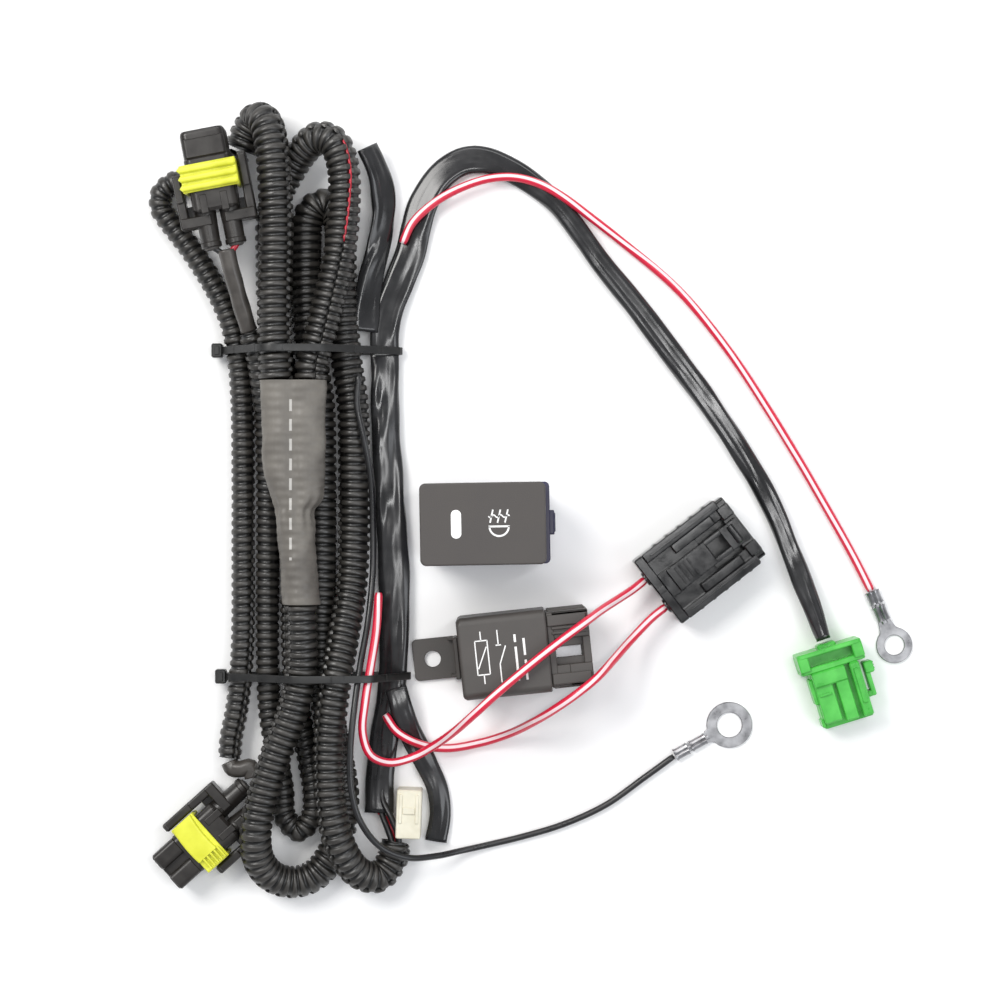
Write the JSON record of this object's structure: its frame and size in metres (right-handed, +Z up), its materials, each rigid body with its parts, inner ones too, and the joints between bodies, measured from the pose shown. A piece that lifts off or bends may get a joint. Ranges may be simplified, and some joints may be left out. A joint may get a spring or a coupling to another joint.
{
  "type": "fog light wiring harness kit",
  "caption": "Coiled fog-light wiring harness with bulb sockets, plugs, ring terminals, a loose relay and a push switch.",
  "frame": {"origin": "centre of the bounding box of everything but the free cords, at the ground the kit lies on", "axes": "+Y runs along the tied bundle towards its arches and the upper bulb socket, +X runs from the bundle towards the relay, the switch and the free leads, +Z is up"},
  "size_m": [0.2528, 0.2591, 0.0318],
  "materials": {
    "conduit": "satin black extruded split conduit",
    "heat_shrink": "satin grey-brown heat-shrink tube",
    "tie_nylon": "satin moulded nylon",
    "flat_sleeve": "glossy soft PVC sleeve",
    "grey_sleeve": "satin heat-shrink over a pair of wires",
    "striped_wire": "red PVC insulation with a white stripe",
    "black_wire": "black PVC insulation",
    "socket_housing": "dark grey moulded nylon",
    "yellow_lock": "lemon yellow moulded nylon",
    "green_nylon": "bright green moulded nylon",
    "black_nylon": "glossy black moulded nylon",
    "ivory_nylon": "natural ivory nylon",
    "tin": "dull tin plate over stamped copper alloy",
    "copper": "enamelled copper",
    "iron": "plated soft iron and spring steel",
    "relay_plastic": "charcoal moulded plastic",
    "switch_cap": "fine-grained grey-brown soft-touch plastic",
    "switch_body": "blue-grey moulded plastic",
    "lens": "milky white lens"
  },
  "bodies": {
    "harness": {"loom_leg_1_upper": "conduit", "loom_leg_1_lower": "conduit", "loom_leg_2_upper": "conduit", "loom_leg_2_lower": "conduit", "loom_trunk": "conduit", "tie_upper": "tie_nylon", "tie_lower": "tie_nylon", "junction_sleeve": "heat_shrink", "side_sleeve": "flat_sleeve", "tail_sleeve": "flat_sleeve", "socket_1_sleeve": "grey_sleeve", "socket_2_sleeve": "grey_sleeve", "small_ring_lead": "striped_wire", "large_ring_lead": "black_wire", "switch_wire_1": "striped_wire", "switch_wire_2": "striped_wire", "green_lead": "flat_sleeve", "socket_1_housing": "socket_housing", "socket_1_terminal_left": "tin", "socket_1_terminal_right": "tin", "socket_2_housing": "socket_housing", "socket_2_terminal_left": "tin", "socket_2_terminal_right": "tin", "green_plug_housing": "green_nylon", "green_plug_terminal_left": "tin", "green_plug_terminal_right": "tin", "switch_plug_housing": "black_nylon", "switch_plug_terminal_left": "tin", "switch_plug_terminal_right": "tin", "small_ring": "tin", "large_ring": "tin", "relay_plug": "ivory_nylon"},
    "socket_1_lock": {"socket_1_lock": "yellow_lock"},
    "socket_2_lock": {"socket_2_lock": "yellow_lock"},
    "green_plug_latch": {"green_plug_latch": "green_nylon"},
    "switch_plug_latch": {"switch_plug_latch": "black_nylon"},
    "relay": {"relay_cover": "relay_plastic", "relay_base": "relay_plastic", "relay_bracket": "relay_plastic", "relay_bobbin": "ivory_nylon", "relay_winding": "copper", "relay_core": "iron", "relay_yoke": "iron", "relay_blade_coil_1": "tin", "relay_blade_coil_2": "tin", "relay_blade_common": "tin", "relay_blade_contact": "tin"},
    "relay_armature": {"relay_armature": "iron", "relay_contact_spring": "copper"},
    "switch": {"switch_body": "switch_body", "switch_clip": "switch_body", "switch_terminal_1": "tin", "switch_terminal_2": "tin", "switch_terminal_3": "tin", "switch_spring": "iron"},
    "switch_button": {"switch_cap": "switch_cap", "switch_lens": "lens", "switch_symbol_pad": "switch_cap", "switch_stem": "ivory_nylon"}
  },
  "joints": [
    {"name": "socket_1_lock_slide", "type": "slide", "parent": "harness", "child": "socket_1_lock", "axis": [0.1874, -0.9823, 0], "range_m": [0, 0.003]},
    {"name": "socket_2_lock_slide", "type": "slide", "parent": "harness", "child": "socket_2_lock", "axis": [0.7431, 0.6691, 0], "range_m": [0, 0.003]},
    {"name": "green_latch_flex", "type": "hinge", "parent": "harness", "child": "green_plug_latch", "pos_m": [0.16445, -0.06241, 0.0075], "axis": [0, 0, 1], "range_deg": [0, 6], "stiffness_Nm_per_rad": 0.05},
    {"name": "switch_plug_latch_flex", "type": "hinge", "parent": "harness", "child": "switch_plug_latch", "pos_m": [0.10002, -0.02468, 0.0126], "axis": [0.6129, -0.7902, 0], "range_deg": [-2.6, 0], "stiffness_Nm_per_rad": 0.4},
    {"name": "relay_push", "type": "slide", "parent": "harness", "child": "relay", "axis": [0, 1, 0], "range_m": [0, 0.005]},
    {"name": "armature_rock", "type": "hinge", "parent": "relay", "child": "relay_armature", "pos_m": [0.03341, -0.04241, 0.013], "axis": [0, 0, 1], "range_deg": [0, 3], "stiffness_Nm_per_rad": 0.08},
    {"name": "switch_lift", "type": "slide", "parent": "harness", "child": "switch", "axis": [0, 0, 1], "range_m": [0, 0.04]},
    {"name": "button_press", "type": "slide", "parent": "switch", "child": "switch_button", "axis": [0, 0, -1], "range_m": [0, 0.0025], "stiffness_N_per_m": 800, "springref_m": -0.001, "deforming": ["switch_spring"]}
  ]
}
